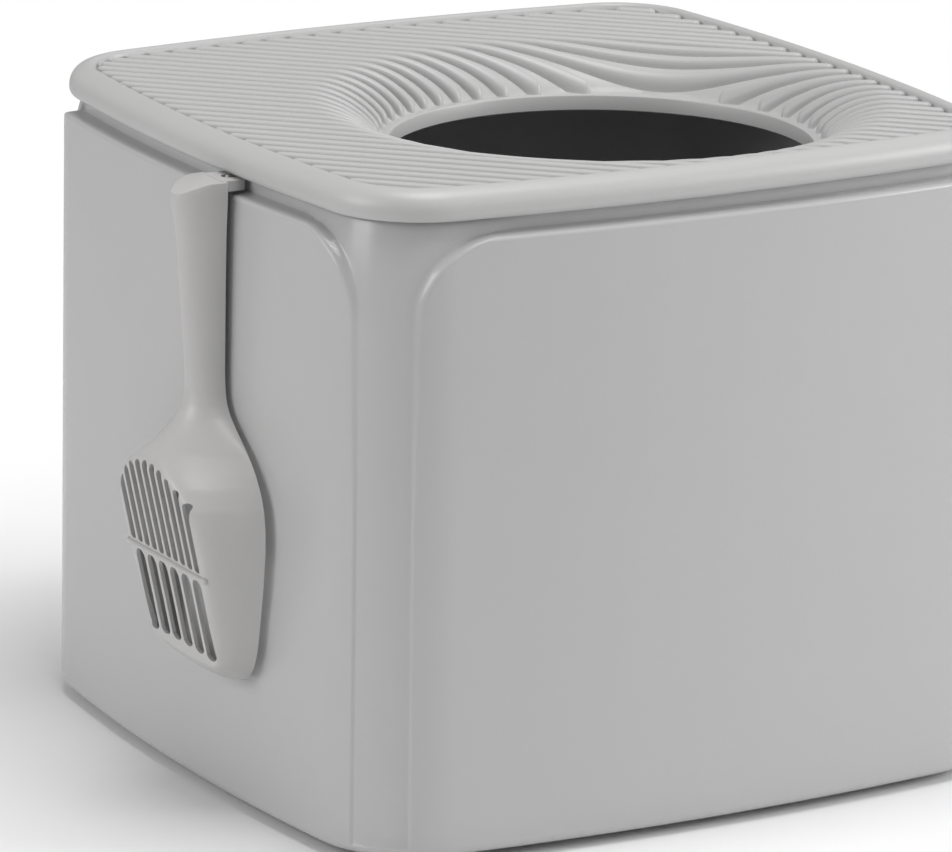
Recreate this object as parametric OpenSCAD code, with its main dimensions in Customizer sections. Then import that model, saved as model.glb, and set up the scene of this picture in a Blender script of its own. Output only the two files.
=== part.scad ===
// Top entry litter box: a square tub with raised side panels, a ribbed lid with a
// funnel-shaped entry hole, a slotted scoop that hangs on the left wall, and four feet.
// Millimetres, +Z up. The origin is the middle of the footprint, on the floor.
// The front looks along -Y and the scoop hangs on the -X wall.

/* [Overall] */
// Width and depth of the lid at the middle of its sides
lid_size = 424; // [400:1:450]
// Height of the crest of the lid's rim above the floor
overall_h = 370; // [360:1:390]
// Size of the plan's corner geometry: larger moves the corner arcs outwards and tightens them
plan_k = 0.9; // [0.88:0.005:0.92]

/* [Tub] */
// Gap under the tub, made by the feet
foot_gap = 5; // [4:0.5:8]
// Thickness of the tub's walls and floor
wall_t = 3; // [2.5:0.1:4]
// How far the wall stands out past the lid's outline, at its top
wall_proud = 3; // [2:0.5:5]
// Extra outward lean of the wall at its foot
wall_lean = 3; // [0:0.5:4]
// Radius of the rounded edge along the tub's foot
foot_edge_r = 6; // [4:0.5:8]
// Radius of the edge between the wall and the ledge under the lid
ledge_edge_r = 2.5; // [2:0.5:4]
// Slope of the ledge, rising inwards to the neck, in degrees
ledge_slope = 16; // [8:1:20]
// Height of the ledge's outer edge below the crest of the lid
ledge_drop = 26; // [24:0.5:30]
// How far the neck that carries the lid is set in from the lid's outline
neck_inset = 7.5; // [7:0.5:8]
// Half width of the plain corner column between two raised panels
column_half_w = 14; // [10:1:20]
// Radius of the arched top corners of the raised panels
arch_r = 40; // [35:1:55]
// Height over which the corner flares from the neck out to the column
flare_h = 56; // [50:1:75]

/* [Lid] */
// Radius of the rim's rounded outer top edge
rim_top_r = 11.5; // [10:0.5:12]
// Radius of the rim's rounded lower lip
rim_lip_r = 4.5; // [4:0.5:5]
// Width of the smooth border between the lid's outline and the ribs
border_w = 14; // [13.5:0.5:18]
// Thickness of the lid's plate
plate_t = 2.8; // [2.5:0.1:3.5]
// Depth of the grooves between the ribs
rib_h = 2.6; // [2:0.1:3]
// Width of one rib
rib_w = 5; // [4:0.5:6]
// Distance from one rib to the next
rib_pitch = 11.8; // [11:0.1:13]

/* [Entry hole] */
// Clear radius of the entry hole
hole_r = 119; // [112:0.5:121]
// Distance of the hole's middle from the lid's middle, in X and in -Y
hole_shift = 32; // [28:1:32]
// Radius of the circle where the funnel starts
funnel_r = 164; // [160:1:164]
// Radius of the funnel's rounded upper edge, over the ribs
funnel_edge_r = 50; // [48:1:52]
// Height of the plain collar round the hole
collar_h = 9; // [8:1:14]

/* [Scoop] */
// Place of the scoop along the wall
scoop_y = -50; // [-60:1:-40]
// Thickness of the scoop
scoop_t = 2.2; // [2:0.1:2.6]
// Greatest half width of the scoop's rim
blade_half_w = 60; // [54:1:62]
// Depth of the scoop's cup at its upper end
blade_depth = 41; // [36:0.5:46]
// Depth of the scoop's cup at its tip
tip_depth = 18.5; // [15:0.5:22]
// Height of the scoop's tip above the floor
tip_z = 79; // [74:1:90]
// Number of narrow slots above the cross bar
fine_slots = 10; // [8:1:10]
// Number of wide slots below the cross bar
wide_slots = 6; // [5:1:6]

/* [Feet] */
// Diameter of a foot
foot_d = 28; // [24:1:32]
// Distance of each foot from the middle, in X and in Y
foot_reach = 150; // [130:1:160]

/* [Hidden] */
shell_grey = [0.72, 0.72, 0.71];
scoop_grey = [0.76, 0.74, 0.73];
rubber_grey = [0.28, 0.28, 0.29];

// Plan outline: four bowed sides, each an arc of radius bow_r, joined by corner arcs.
// The arcs' centres are the corners of a 165, 1508, 1517 right triangle times plan_k,
// so that every arc meets the next exactly, and without a kink.
half = lid_size / 2;
corner_c = 165 * plan_k;
bow_c = 1343 * plan_k;
bow_r = half + bow_c;
corner_r = bow_r - 1517 * plan_k;
bow_a = atan2(165, 1508);

// Heights of the tub
ledge_z = overall_h - ledge_drop;
edge_c = [wall_proud - ledge_edge_r, ledge_z - ledge_edge_r];
edge_top = edge_c + ledge_edge_r * [sin(ledge_slope), cos(ledge_slope)];
flare_z = ledge_z - flare_h;
floor_z = foot_gap + wall_t;
rim_gap = 0.3;
neck_t = 2.4;
channel_z = overall_h - rim_top_r;
neck_top_z = channel_z - rim_gap;
fill_in = 30;
plate_lap = 20;

lap_step = 0.2;

// How far the wall stands outside the lid's outline at a given height
function wall_at(z) = wall_proud + wall_lean * (edge_c[1] - z) / (edge_c[1] - foot_gap - foot_edge_r);

// Height of the ledge at a given distance outside the lid's outline
function ledge_at(s) = edge_top[1] + (edge_top[0] - s) * tan(ledge_slope);

// Heights of the lid
rim_z = overall_h - rim_top_r;
lip_z = overall_h - 13;
rib_top_z = overall_h - 1.4;
groove_z = rib_top_z - rib_h;
skirt_gap = 0.5;
skirt_t = 2.5;
skirt_h = 14;
rim_t = 3;

// Funnel, as radius and height about the hole's own axis. Its section is an arc
// that ends on the slope of a 3, 4, 5 right triangle, then a short straight run.
slope = [0.8, 0.6];
slope_run = 4;
edge_z = rib_top_z - funnel_edge_r;
groove_edge_r = funnel_edge_r - rib_h;
under_edge_r = groove_edge_r - plate_t;
ring_w = 5.5;
ring_z = overall_h - 26;
collar_t = 2.5;

// Scoop
scoop_gap = 3.2;
scoop_x = half + wall_proud + scoop_gap;
face_round = 7;
face_top_z = 194;
face_low_z = tip_z + 11;
bar_z = 141.5;
arm_z = ledge_at(-neck_inset) + 0.3;
arm_end = half - neck_inset + 0.8 - scoop_x;
peg_r = 1.4;
peg_x = half - 1;
fork_w = 7.5;

// Moves the whole part in X, so that the origin is the middle of its box
box_shift = (scoop_x + blade_depth - half - wall_proud - wall_lean) / 2;

function face_depth(z) = tip_depth + (z - face_low_z) * (blade_depth - tip_depth) / (face_top_z - face_low_z);

// Points of a quarter of the plan outline, pushed outwards by off
function quarter(off, n) = concat(
    [for (i = [0:n]) let (a = 180 + bow_a * i / n)
        [bow_c + (bow_r + off) * cos(a), (bow_r + off) * sin(a)]],
    [for (i = [1:n]) let (a = 180 + bow_a + (90 - 2 * bow_a) * i / n)
        [-corner_c + (corner_r + off) * cos(a), -corner_c + (corner_r + off) * sin(a)]],
    [for (i = [1:n - 1]) let (a = 270 - bow_a + bow_a * i / n)
        [(bow_r + off) * cos(a), bow_c + (bow_r + off) * sin(a)]]);

function turned(points, a) = [for (p = points)
    [p[0] * cos(a) - p[1] * sin(a), p[0] * sin(a) + p[1] * cos(a)]];

// Flat plate in the shape of the plan outline, pushed outwards by off
module outline_plate(off, z0, z1, n = 6) {
    ring = [for (k = [0:3]) each turned(quarter(off, n), 90 * k)];
    translate([0, 0, z0])
        linear_extrude(z1 - z0)
            polygon(ring);
}

// Wedge from p through the two ends of the next arc's rays, over the part's full height
module wedge(points) {
    translate([0, 0, -20])
        linear_extrude(overall_h + 40)
            polygon(points);
}

// Carries a section round the plan outline. In the section, x is the distance
// outside the lid's outline and y is the height.
module swept() {
    far = [1.25 * corner_c, 1.25 * (corner_c + bow_c) - bow_c];
    for (k = [0:3])
        rotate(90 * k) {
            intersection() {
                translate([0, bow_c])
                    rotate_extrude($fn = 720)
                        translate([bow_r, 0])
                            children();
                wedge([[0, bow_c], [-far[0], -far[1]], [far[0], -far[1]]]);
            }
            intersection() {
                translate([corner_c, -corner_c])
                    rotate_extrude($fn = 360)
                        translate([corner_r, 0])
                            children();
                wedge([[corner_c, -corner_c], [far[0], -far[1]], [far[1], -far[1]], [far[1], -far[0]]]);
            }
        }
}

// ---- Tub ----

module tub_outer_section() {
    foot_s = wall_proud + wall_lean;
    polygon([
        [-fill_in, foot_gap],
        [foot_s - foot_edge_r, foot_gap],
        [foot_s, foot_gap + foot_edge_r],
        [wall_proud, edge_c[1]],
        edge_top,
        [-neck_inset, ledge_at(-neck_inset)],
        [-neck_inset, neck_top_z],
        [-fill_in, neck_top_z]]);
    translate([foot_s - foot_edge_r, foot_gap + foot_edge_r])
        circle(foot_edge_r, $fn = 48);
    translate(edge_c)
        circle(ledge_edge_r, $fn = 48);
}

module tub_inner_section() {
    foot_s = wall_proud + wall_lean - wall_t;
    neck_s = -neck_inset - neck_t;
    polygon([
        [-fill_in - 1, floor_z],
        [foot_s, floor_z],
        [wall_proud - wall_t, flare_z],
        [neck_s, ledge_z - 4],
        [neck_s, neck_top_z + 1],
        [-fill_in - 1, neck_top_z + 1]]);
}

// What the corner flare takes away between two panels
module flare_section() {
    start = wall_at(flare_z) + 0.1;
    deep = start + neck_inset;
    flare_r = (flare_h * flare_h + deep * deep) / (2 * deep);
    difference() {
        translate([0.3 - neck_inset, flare_z])
            square([30, flare_h + 7]);
        translate([start - flare_r, flare_z])
            circle(flare_r, $fn = 360);
    }
}

// Outline of the gap between two panels, seen along the corner's diagonal
module arch_gap_section() {
    reach = column_half_w + arch_r;
    difference() {
        translate([-reach, flare_z - 1])
            square([2 * reach, ledge_z + 10 - flare_z]);
        for (side = [0, 1])
            mirror([side, 0]) {
                translate([reach, ledge_z + 1 - arch_r])
                    circle(arch_r, $fn = 128);
                translate([column_half_w, flare_z - 2])
                    square([arch_r + 1, ledge_z + 3 - arch_r - flare_z]);
            }
    }
}

module corner_flares() {
    intersection() {
        swept()
            flare_section();
        for (k = [0:3])
            rotate([0, 0, 90 * k - 45])
                rotate([90, 0, 0])
                    translate([0, 0, corner_c])
                        linear_extrude(200)
                            arch_gap_section();
    }
}

// Small post on the left ledge that the scoop's arm slips round
module scoop_peg() {
    translate([-peg_x, scoop_y, ledge_z - 2])
        cylinder(h = 6.5, r = peg_r, $fn = 32);
}

module foot_sites() {
    for (sx = [-1, 1], sy = [-1, 1])
        translate([sx * foot_reach, sy * foot_reach, 0])
            children();
}

module tub() {
    color(shell_grey)
        translate([box_shift, 0, 0])
            difference() {
                union() {
                    swept()
                        difference() {
                            tub_outer_section();
                            tub_inner_section();
                        }
                    outline_plate(-plate_lap, foot_gap + lap_step, floor_z - lap_step);
                    scoop_peg();
                }
                corner_flares();
                foot_sites()
                    translate([0, 0, foot_gap - 1])
                        cylinder(h = 2, d = foot_d + 0.4, $fn = 64);
            }
}

// ---- Lid ----

module rim_section() {
    skirt_s = -neck_inset - neck_t - skirt_gap;
    polygon([
        [-rim_t, lip_z],
        [0, lip_z],
        [0, rim_z],
        [-rim_top_r, overall_h],
        [-border_w, rib_top_z],
        [-border_w, groove_z],
        [-fill_in, groove_z],
        [-fill_in, groove_z - plate_t],
        [skirt_s - skirt_t, groove_z - plate_t],
        [skirt_s - skirt_t, channel_z - skirt_h],
        [skirt_s, channel_z - skirt_h],
        [skirt_s, channel_z],
        [-rim_t, channel_z]]);
    translate([-rim_top_r, rim_z])
        intersection() {
            circle(rim_top_r, $fn = 96);
            square(rim_top_r);
        }
    intersection() {
        translate([-rim_lip_r, lip_z])
            circle(rim_lip_r, $fn = 48);
        translate([-rim_t, lip_z - rim_lip_r])
            square([rim_t, rim_lip_r + 1]);
    }
}

// Section of the funnel: a rounded band, then the straight run down to the ring
module funnel_band(outer_r, inner_r) {
    down = slope_run * [-slope[1], -slope[0]];
    from = [-slope[0], slope[1]];
    translate([funnel_r, edge_z]) {
        intersection() {
            difference() {
                circle(outer_r, $fn = 256);
                circle(inner_r, $fn = 256);
            }
            polygon([[0, 0], [0, 2 * outer_r], [-2 * outer_r, 2 * outer_r], 2 * outer_r * from]);
        }
        polygon([inner_r * from, outer_r * from, outer_r * from + down, inner_r * from + down]);
    }
}

module funnel() {
    rotate_extrude($fn = 180) {
        funnel_band(groove_edge_r, under_edge_r);
        translate([hole_r, ring_z - plate_t])
            square([ring_w, plate_t]);
        translate([hole_r, ring_z - collar_h])
            square([collar_t, collar_h]);
    }
}

// The solid layer that the ribs are cut from: flat over the plate, curved in the funnel
module rib_layer() {
    sunk = 1;
    difference() {
        translate([-half, -half, groove_z - sunk])
            cube([lid_size, lid_size, rib_h + sunk]);
        translate([hole_shift, -hole_shift, 0])
            cylinder(h = overall_h + 10, r = funnel_r, $fn = 180);
    }
    translate([hole_shift, -hole_shift, 0])
        rotate_extrude($fn = 180)
            funnel_band(funnel_edge_r, groove_edge_r - sunk);
}

// Straight bars along the lid's diagonal, which the rib layer is cut to
module rib_bars() {
    count = floor(half * 1.2 / rib_pitch);
    intersection() {
        for (i = [-count:count])
            rotate(-45)
                translate([-lid_size, i * rib_pitch - rib_w / 2, ring_z - 20])
                    cube([2 * lid_size, rib_w, 100]);
        outline_plate(-border_w - 1.5, ring_z - 20, overall_h + 1, 16);
    }
}

module lid() {
    color(shell_grey)
        translate([box_shift, 0, 0]) {
            difference() {
                union() {
                    swept()
                        rim_section();
                    outline_plate(-plate_lap, groove_z - plate_t + lap_step, groove_z - lap_step);
                }
                translate([hole_shift, -hole_shift, 0])
                    cylinder(h = overall_h + 10, r = funnel_r, $fn = 180);
            }
            translate([hole_shift, -hole_shift, 0])
                funnel();
            intersection() {
                rib_layer();
                rib_bars();
            }
        }
}

// ---- Scoop ----

// Side view of the handle. x is the distance outwards from the blade's rim plane.
module handle_side(inset = 0) {
    back = inset > 0 ? -6 : 0.5;
    low = inset > 0 ? 207 : 213;
    polygon([
        [back, low],
        [back, arm_z + (inset > 0 ? -0.4 : 1)],
        [4, arm_z + scoop_t - 0.3 - inset],
        [9.5, arm_z + scoop_t - 0.6 - inset],
        [18 - inset / 2, arm_z + scoop_t - 3 - inset],
        [24.5 - inset, ledge_z - 1 - inset / 2],
        [24.5 - inset, ledge_z - 5],
        [22 - inset, ledge_z - 14],
        [19 - inset, 322],
        [17 - inset, 290],
        [15.2 - inset, 250],
        [15.6 - inset, low]]);
}

// The handle seen from outside, as width and height
module handle_front(inset = 0) {
    levels = [[205, 12.6], [250, 11.4], [290, 11.7], [322, 12.4], [ledge_z - 12, 13.8], [ledge_z + 20, 14.5]];
    polygon(concat(
        [for (p = levels) [p[1] - inset, p[0]]],
        [for (i = [len(levels) - 1:-1:0]) [inset - levels[i][1], levels[i][0]]]));
}

// The handle seen from above: an oval outer end
module handle_plan(inset = 0) {
    end_r = 14.5;
    translate([24.5 - end_r, 0])
        circle(end_r - inset, $fn = 96);
    translate([-8, inset - end_r - 1])
        square([8 + 24.5 - end_r, 2 * (end_r + 1 - inset)]);
}

// Form of the handle, or of the channel inside it when inset is the wall thickness
module handle_form(inset = 0) {
    intersection() {
        translate([0, 30, 0])
            rotate([90, 0, 0])
                linear_extrude(60)
                    handle_side(inset);
        translate([-40, 0, 0])
            rotate([90, 0, 90])
                linear_extrude(80)
                    handle_front(inset);
        translate([0, 0, 200])
            linear_extrude(160)
                handle_plan(inset);
    }
}

// Arm that reaches in over the ledge, with an open slot round the peg
module scoop_arm() {
    difference() {
        translate([arm_end, -12, arm_z])
            cube([3 - arm_end, 24, scoop_t]);
        translate([peg_x - scoop_x, 0, arm_z - 1])
            cylinder(h = scoop_t + 2, d = fork_w, $fn = 48);
        translate([arm_end - 1, -fork_w / 2, arm_z - 1])
            cube([peg_x - scoop_x - arm_end + 1, fork_w, scoop_t + 2]);
    }
}

// Rim outline of the blade seen from outside, drawn in by inset
module blade_rim(inset = 0) {
    hull() {
        for (side = [-1, 1]) {
            translate([side * (blade_half_w - 28), 176])
                circle(28 - inset, $fn = 80);
            translate([side * (blade_half_w - 25), tip_z + 17])
                circle(17 - inset, $fn = 64);
        }
        translate([0, 219])
            circle(12 - inset, $fn = 48);
    }
}

// Outer form of the blade: the rim joined to the slanting slotted face
module blade_form(inset = 0) {
    face = [[14, face_top_z], [33, 183], [42, 160], [36, face_low_z]];
    hull() {
        translate([inset > 0 ? -1 : 0, 0, 0])
            rotate([90, 0, 90])
                linear_extrude(2)
                    blade_rim(inset);
        for (p = face, side = [-1, 1])
            translate([face_depth(p[1]) - face_round, side * p[0], p[1]])
                sphere(face_round - inset, $fn = 32);
    }
}

// A slot with round ends, from height z0 to z1
module slot(y, z0, z1, w) {
    translate([y - w / 2, z0])
        square([w, z1 - z0]);
    for (z = [z0, z1])
        translate([y, z])
            circle(d = w, $fn = 24);
}

module face_slots() {
    fine_pitch = 8.6;
    wide_pitch = 13.7;
    rotate([90, 0, 90])
        translate([0, 0, 6])
            linear_extrude(60) {
                for (i = [0:fine_slots - 1]) {
                    y = (i - (fine_slots - 1) / 2) * fine_pitch;
                    slot(y, bar_z + 5, face_top_z + 0.5 - 0.008 * y * y, 4.6);
                }
                for (i = [0:wide_slots - 1])
                    slot((i - (wide_slots - 1) / 2) * wide_pitch, face_low_z + 5, bar_z - 7, 9);
            }
}

module cross_bar() {
    translate([face_depth(bar_z) - 0.4, 46, bar_z])
        rotate([90, 0, 0])
            cylinder(h = 92, r = 1.8, $fn = 32);
}

module scoop() {
    color(scoop_grey)
        translate([box_shift - scoop_x, scoop_y, 0])
            mirror([1, 0, 0]) {
                difference() {
                    union() {
                        handle_form();
                        difference() {
                            blade_form();
                            face_slots();
                        }
                    }
                    blade_form(scoop_t);
                    handle_form(scoop_t);
                }
                scoop_arm();
                cross_bar();
            }
}

// ---- Feet ----

module foot(sx, sy) {
    color(rubber_grey)
        translate([box_shift + sx * foot_reach, sy * foot_reach, 0]) {
            cylinder(h = 1.5, d1 = foot_d - 3, d2 = foot_d, $fn = 64);
            translate([0, 0, 1.5])
                cylinder(h = foot_gap - 0.5, d = foot_d, $fn = 64);
        }
}

module foot_front_left() { foot(-1, -1); }
module foot_front_right() { foot(1, -1); }
module foot_back_left() { foot(-1, 1); }
module foot_back_right() { foot(1, 1); }

tub();
lid();
scoop();
foot_front_left();
foot_front_right();
foot_back_left();
foot_back_right();
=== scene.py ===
"""Top entry litter box: a grey bucket with raised side panels, a ribbed lid with a
funnel-shaped entry hole, a slotted scoop on the left wall and four rubber feet.

Everything is in metres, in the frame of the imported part. The front looks along -Y and
the scoop hangs on the -X wall.
"""

import logging
import math
from dataclasses import dataclass
from enum import Enum
from typing import Sequence

import bmesh
import bpy
import numpy as np
from mathutils import Matrix, Vector


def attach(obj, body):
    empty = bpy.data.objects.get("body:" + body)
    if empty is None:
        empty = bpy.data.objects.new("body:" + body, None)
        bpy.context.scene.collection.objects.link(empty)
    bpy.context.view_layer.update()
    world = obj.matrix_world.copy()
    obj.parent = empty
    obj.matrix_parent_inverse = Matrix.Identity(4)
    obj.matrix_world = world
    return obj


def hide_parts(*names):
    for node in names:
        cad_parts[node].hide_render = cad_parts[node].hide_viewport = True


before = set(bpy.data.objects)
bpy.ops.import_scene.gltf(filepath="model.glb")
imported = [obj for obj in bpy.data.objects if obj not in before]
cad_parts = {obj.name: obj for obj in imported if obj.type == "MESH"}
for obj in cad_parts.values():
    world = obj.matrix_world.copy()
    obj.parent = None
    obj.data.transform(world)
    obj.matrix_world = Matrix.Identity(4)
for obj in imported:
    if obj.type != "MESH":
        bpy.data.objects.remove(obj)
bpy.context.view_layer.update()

MM = 0.001
LOG = logging.getLogger("litter_box")


class Slot(Enum):
    """The record's material slots of the pieces that are built here."""

    SHELL = "shell"
    SCOOP = "scoop_plastic"


class Body(Enum):
    """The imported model's bodies."""

    BOX = "box"
    LID = "lid"
    SCOOP = "scoop"


# ---------------------------------------------------------------- plan outline


@dataclass(frozen=True)
class PlanOutline:
    """The bowed square that every wall, ledge and rim follows, in millimetres.

    Each side is an arc of large radius and each corner a small arc, so an outline
    pushed in or out keeps the same arc centres.
    """

    half: float = 212.0
    bow_centre: float = 1208.7
    corner_centre: float = 148.5
    corner: float = 55.4
    shift_x: float = 20.6
    side_steps: int = 24
    end_steps: int = 40
    end_share: float = 0.15
    corner_steps: int = 110

    @property
    def bow_radius(self) -> float:
        """Radius of a side's arc."""
        return self.half + self.bow_centre

    @property
    def side_angle(self) -> float:
        """Half the angle that a side's arc spans, in radians."""
        return math.atan2(self.corner_centre, self.corner_centre + self.bow_centre)

    def stations(self) -> dict[str, np.ndarray]:
        """Points round the outline, as arc centre, arc radius and normal angle.

        Returns:
            Arrays "cx", "cy", "r" and "a", one entry for each station, counter-clockwise.
        """
        rows = []
        b = self.side_angle
        for k in range(4):
            turn = math.pi + k * math.pi / 2
            cos_t, sin_t = math.cos(turn), math.sin(turn)
            side_x, side_y = -self.bow_centre * cos_t, -self.bow_centre * sin_t
            near = np.linspace(-1, -1 + self.end_share, self.end_steps, endpoint=False)
            middle = np.linspace(-1 + self.end_share, 1 - self.end_share, self.side_steps + 1)
            for u in np.concatenate([near, middle, -near[:0:-1]]):
                rows.append((side_x, side_y, self.bow_radius, turn + b * u))
            cx = self.corner_centre * (cos_t - sin_t)
            cy = self.corner_centre * (sin_t + cos_t)
            span = math.pi / 2 - 2 * b
            for i in range(self.corner_steps):
                a = turn + b + span * i / self.corner_steps
                rows.append((cx, cy, self.corner, a))
        data = np.array(rows, float)
        return {"cx": data[:, 0], "cy": data[:, 1], "r": data[:, 2], "a": data[:, 3]}

    def ring(self, off: np.ndarray | float) -> np.ndarray:
        """The outline pushed outwards.

        Args:
            off: Distance outwards in millimetres, one value or one for each station.

        Returns:
            An array of X and Y in millimetres, before the shift in X.
        """
        s = self.stations()
        r = s["r"] + off
        return np.stack([s["cx"] + r * np.cos(s["a"]), s["cy"] + r * np.sin(s["a"])], axis=1)


OUTLINE = PlanOutline()


# ---------------------------------------------------------------- mesh helpers


def placed(points: np.ndarray) -> np.ndarray:
    """Millimetres about the plan's middle, as metres in the part's frame."""
    moved = np.array(points, float)
    moved[:, 0] += OUTLINE.shift_x
    return moved * MM


class MeshParts:
    """Collects vertices and faces, in millimetres, for one mesh."""

    def __init__(self) -> None:
        """Starts empty."""
        self.points: list[np.ndarray] = []
        self.faces: list[tuple[int, ...]] = []
        self.count = 0

    def add(self, points: np.ndarray, faces: Sequence[tuple[int, ...]]) -> None:
        """Adds points and the faces that index them.

        Args:
            points: Array of X, Y and Z.
            faces: Tuples of indices into points.
        """
        base = self.count
        self.points.append(np.asarray(points, float))
        self.faces.extend(tuple(base + i for i in f) for f in faces)
        self.count += len(points)

    def band(self, rows: Sequence[np.ndarray], cap_start: bool = False, cap_end: bool = False,
             closed: bool = False) -> None:
        """Joins rings of equal length into a surface.

        Args:
            rows: Rings of X, Y and Z, in order.
            cap_start: Whether a fan closes the first ring.
            cap_end: Whether a fan closes the last ring.
            closed: Whether the last ring joins the first.
        """
        n, m = len(rows[0]), len(rows)
        faces: list[tuple[int, ...]] = []
        last = m if closed else m - 1
        for j in range(last):
            k = (j + 1) % m
            for i in range(n):
                h = (i + 1) % n
                faces.append((j * n + i, j * n + h, k * n + h, k * n + i))
        points = np.concatenate([np.asarray(r, float) for r in rows])
        extra = []
        for wanted, row in ((cap_start, 0), (cap_end, m - 1)):
            if wanted:
                hub = len(points) + len(extra)
                extra.append(np.mean(rows[row], axis=0))
                for i in range(n):
                    h = (i + 1) % n
                    a, b = row * n + i, row * n + h
                    faces.append((hub, b, a) if row == 0 else (hub, a, b))
        if extra:
            points = np.concatenate([points, np.array(extra)])
        self.add(points, faces)

    def build(self, name: str, smooth_angle: float = 35.0) -> bpy.types.Object:
        """Makes the object, with outward normals and smooth shading.

        Args:
            name: Name of the piece.
            smooth_angle: Edges sharper than this, in degrees, stay sharp.

        Returns:
            The new object, linked to the scene.
        """
        mesh = bpy.data.meshes.new(name)
        mesh.from_pydata(placed(np.concatenate(self.points)).tolist(), [], self.faces)
        edit = bmesh.new()
        edit.from_mesh(mesh)
        bmesh.ops.recalc_face_normals(edit, faces=edit.faces)
        edit.to_mesh(mesh)
        edit.free()
        smooth(mesh, smooth_angle)
        obj = bpy.data.objects.new(name, mesh)
        bpy.context.scene.collection.objects.link(obj)
        return obj


def smooth(mesh: bpy.types.Mesh, angle: float) -> None:
    """Shades a mesh smooth, with sharp edges past an angle in degrees."""
    mesh.polygons.foreach_set("use_smooth", [True] * len(mesh.polygons))
    mesh.set_sharp_from_angle(angle=math.radians(angle))
    mesh.update()


def lifted(ring: np.ndarray, z: np.ndarray | float) -> np.ndarray:
    """A plan ring with heights added."""
    return np.column_stack([ring, np.broadcast_to(z, len(ring))])


def arc(cx: float, cz: float, r: float, start: float, end: float, steps: int) -> list[tuple[float, float]]:
    """Points along an arc of a section, angles in degrees."""
    angles = np.radians(np.linspace(start, end, steps + 1))
    return [(cx + r * math.cos(a), cz + r * math.sin(a)) for a in angles]


def smoothstep(x: np.ndarray, low: float, high: float) -> np.ndarray:
    """0 below low, 1 above high and a smooth rise between them."""
    t = np.clip((x - low) / (high - low), 0, 1)
    return t * t * (3 - 2 * t)


# ---------------------------------------------------------------- node groups


def new_group(name: str, inputs: Sequence[tuple[str, str, object]],
              outputs: Sequence[tuple[str, str]]) -> bpy.types.NodeTree:
    """Makes an empty shader node group.

    Args:
        name: Name of the group.
        inputs: Name, socket type and default of each input.
        outputs: Name and socket type of each output.

    Returns:
        The group, with its input and output nodes.
    """
    group = bpy.data.node_groups.new(name, "ShaderNodeTree")
    for label, kind, default in inputs:
        socket = group.interface.new_socket(label, in_out="INPUT", socket_type=kind)
        socket.default_value = default
    for label, kind in outputs:
        group.interface.new_socket(label, in_out="OUTPUT", socket_type=kind)
    group.nodes.new("NodeGroupInput").name = "in"
    group.nodes.new("NodeGroupOutput").name = "out"
    return group


def math_node(tree: bpy.types.NodeTree, operation: str, a: object, b: object = 0.0) -> bpy.types.NodeSocket:
    """Adds a Math node and returns its output.

    Args:
        tree: The tree to add to.
        operation: The node's operation.
        a: First value, a number or a socket.
        b: Second value, a number or a socket.

    Returns:
        The node's output socket.
    """
    node = tree.nodes.new("ShaderNodeMath")
    node.operation = operation
    for index, value in enumerate((a, b)):
        if isinstance(value, bpy.types.NodeSocket):
            tree.links.new(value, node.inputs[index])
        else:
            node.inputs[index].default_value = value
    return node.outputs[0]


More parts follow.
